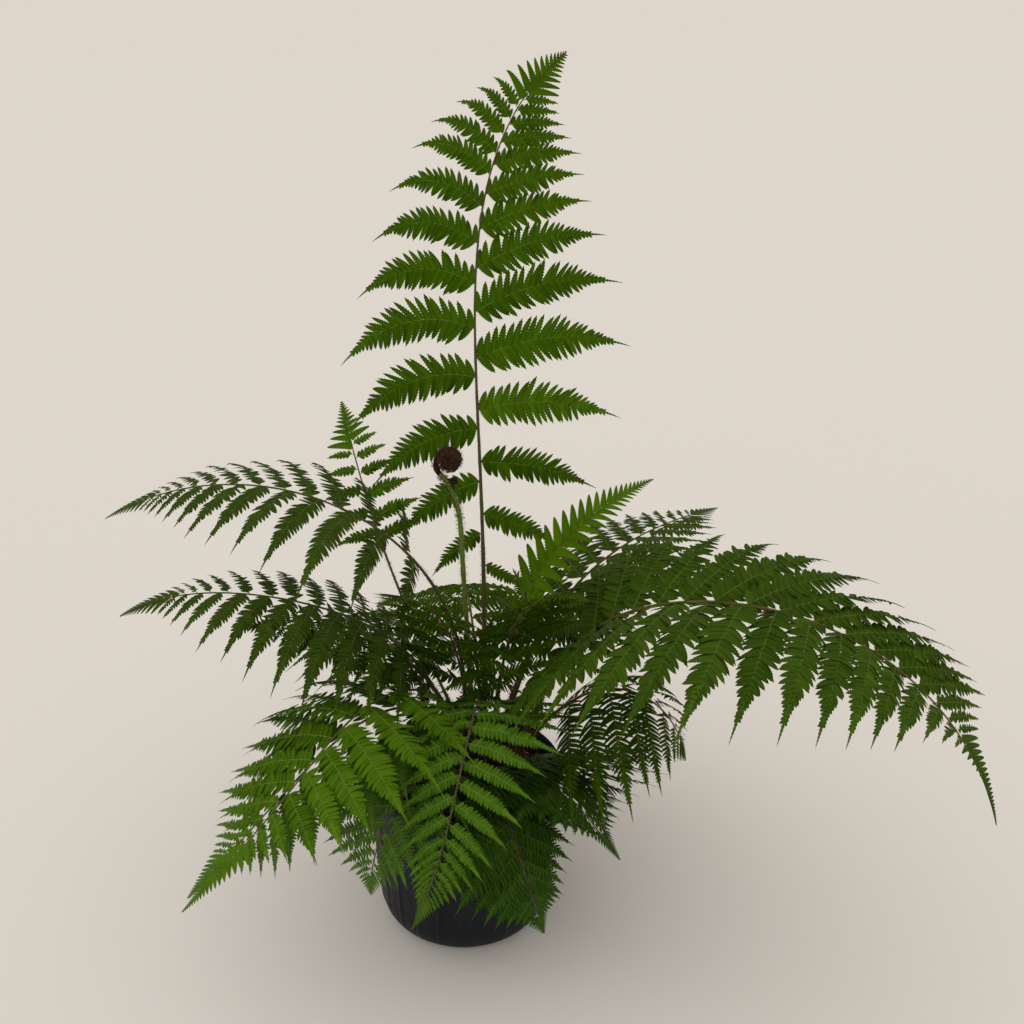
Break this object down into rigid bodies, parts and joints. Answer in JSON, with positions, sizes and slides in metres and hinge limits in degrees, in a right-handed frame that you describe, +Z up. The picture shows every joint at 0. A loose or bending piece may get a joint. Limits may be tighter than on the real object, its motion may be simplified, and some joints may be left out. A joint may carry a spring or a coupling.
{
  "type": "australian tree fern",
  "caption": "Young potted Australian tree fern with arching, finely divided fronds and a hairy crozier on a short crown, in a ribbed round nursery pot.",
  "frame": {"origin": "middle of the pot's flat underside", "axes": "+Z up along the pot's axis, the longest frond reaching towards +X and a little towards -Y, the pot's seen front towards -Y"},
  "size_m": [1.1459, 0.8064, 1.1978],
  "materials": {
    "pot": "satin black, softly ribbed",
    "soil": "damp bark and peat mix",
    "crown": "matt fibre and scales",
    "stipe": "brown to green, rough with scales",
    "crozier": "dense dark brown hair",
    "leaf": "soft satin green"
  },
  "bodies": {
    "root": {"crown": "crown", "crozier_bud": "crozier", "crozier_coil": "crozier", "crozier_stipe": "stipe", "frond_back_inner": "leaf", "frond_back_left_inner": "leaf", "frond_back_left_outer": "leaf", "frond_back_left_stipe": "stipe", "frond_back_low_inner": "leaf", "frond_back_low_outer": "leaf", "frond_back_low_stipe": "stipe", "frond_back_outer": "leaf", "frond_back_right_inner": "leaf", "frond_back_right_outer": "leaf", "frond_back_right_stipe": "stipe", "frond_back_stipe": "stipe", "frond_centre_left_blade": "leaf", "frond_centre_left_stipe": "stipe", "frond_centre_right_blade": "leaf", "frond_centre_right_stipe": "stipe", "frond_front_inner": "leaf", "frond_front_left_inner": "leaf", "frond_front_left_low_inner": "leaf", "frond_front_left_low_outer": "leaf", "frond_front_left_low_stipe": "stipe", "frond_front_left_outer": "leaf", "frond_front_left_stipe": "stipe", "frond_front_mid_blade": "leaf", "frond_front_mid_stipe": "stipe", "frond_front_outer": "leaf", "frond_front_right_blade": "leaf", "frond_front_right_stipe": "stipe", "frond_front_stipe": "stipe", "frond_left_inner_blade": "leaf", "frond_left_inner_stipe": "stipe", "frond_left_middle_inner": "leaf", "frond_left_middle_outer": "leaf", "frond_left_middle_stipe": "stipe", "frond_left_upper_inner": "leaf", "frond_left_upper_outer": "leaf", "frond_left_upper_stipe": "stipe", "frond_right_large_inner": "leaf", "frond_right_large_middle": "leaf", "frond_right_large_outer": "leaf", "frond_right_large_stipe": "stipe", "frond_right_low_blade": "leaf", "frond_right_low_stipe": "stipe", "frond_right_under_inner": "leaf", "frond_right_under_outer": "leaf", "frond_right_under_stipe": "stipe", "frond_small_left_blade": "leaf", "frond_small_left_stipe": "stipe", "frond_top_inner": "leaf", "frond_top_outer": "leaf", "frond_top_stipe": "stipe", "frond_young_right_blade": "leaf", "frond_young_right_stipe": "stipe", "pot": "pot", "soil": "soil"}
  },
  "joints": []
}
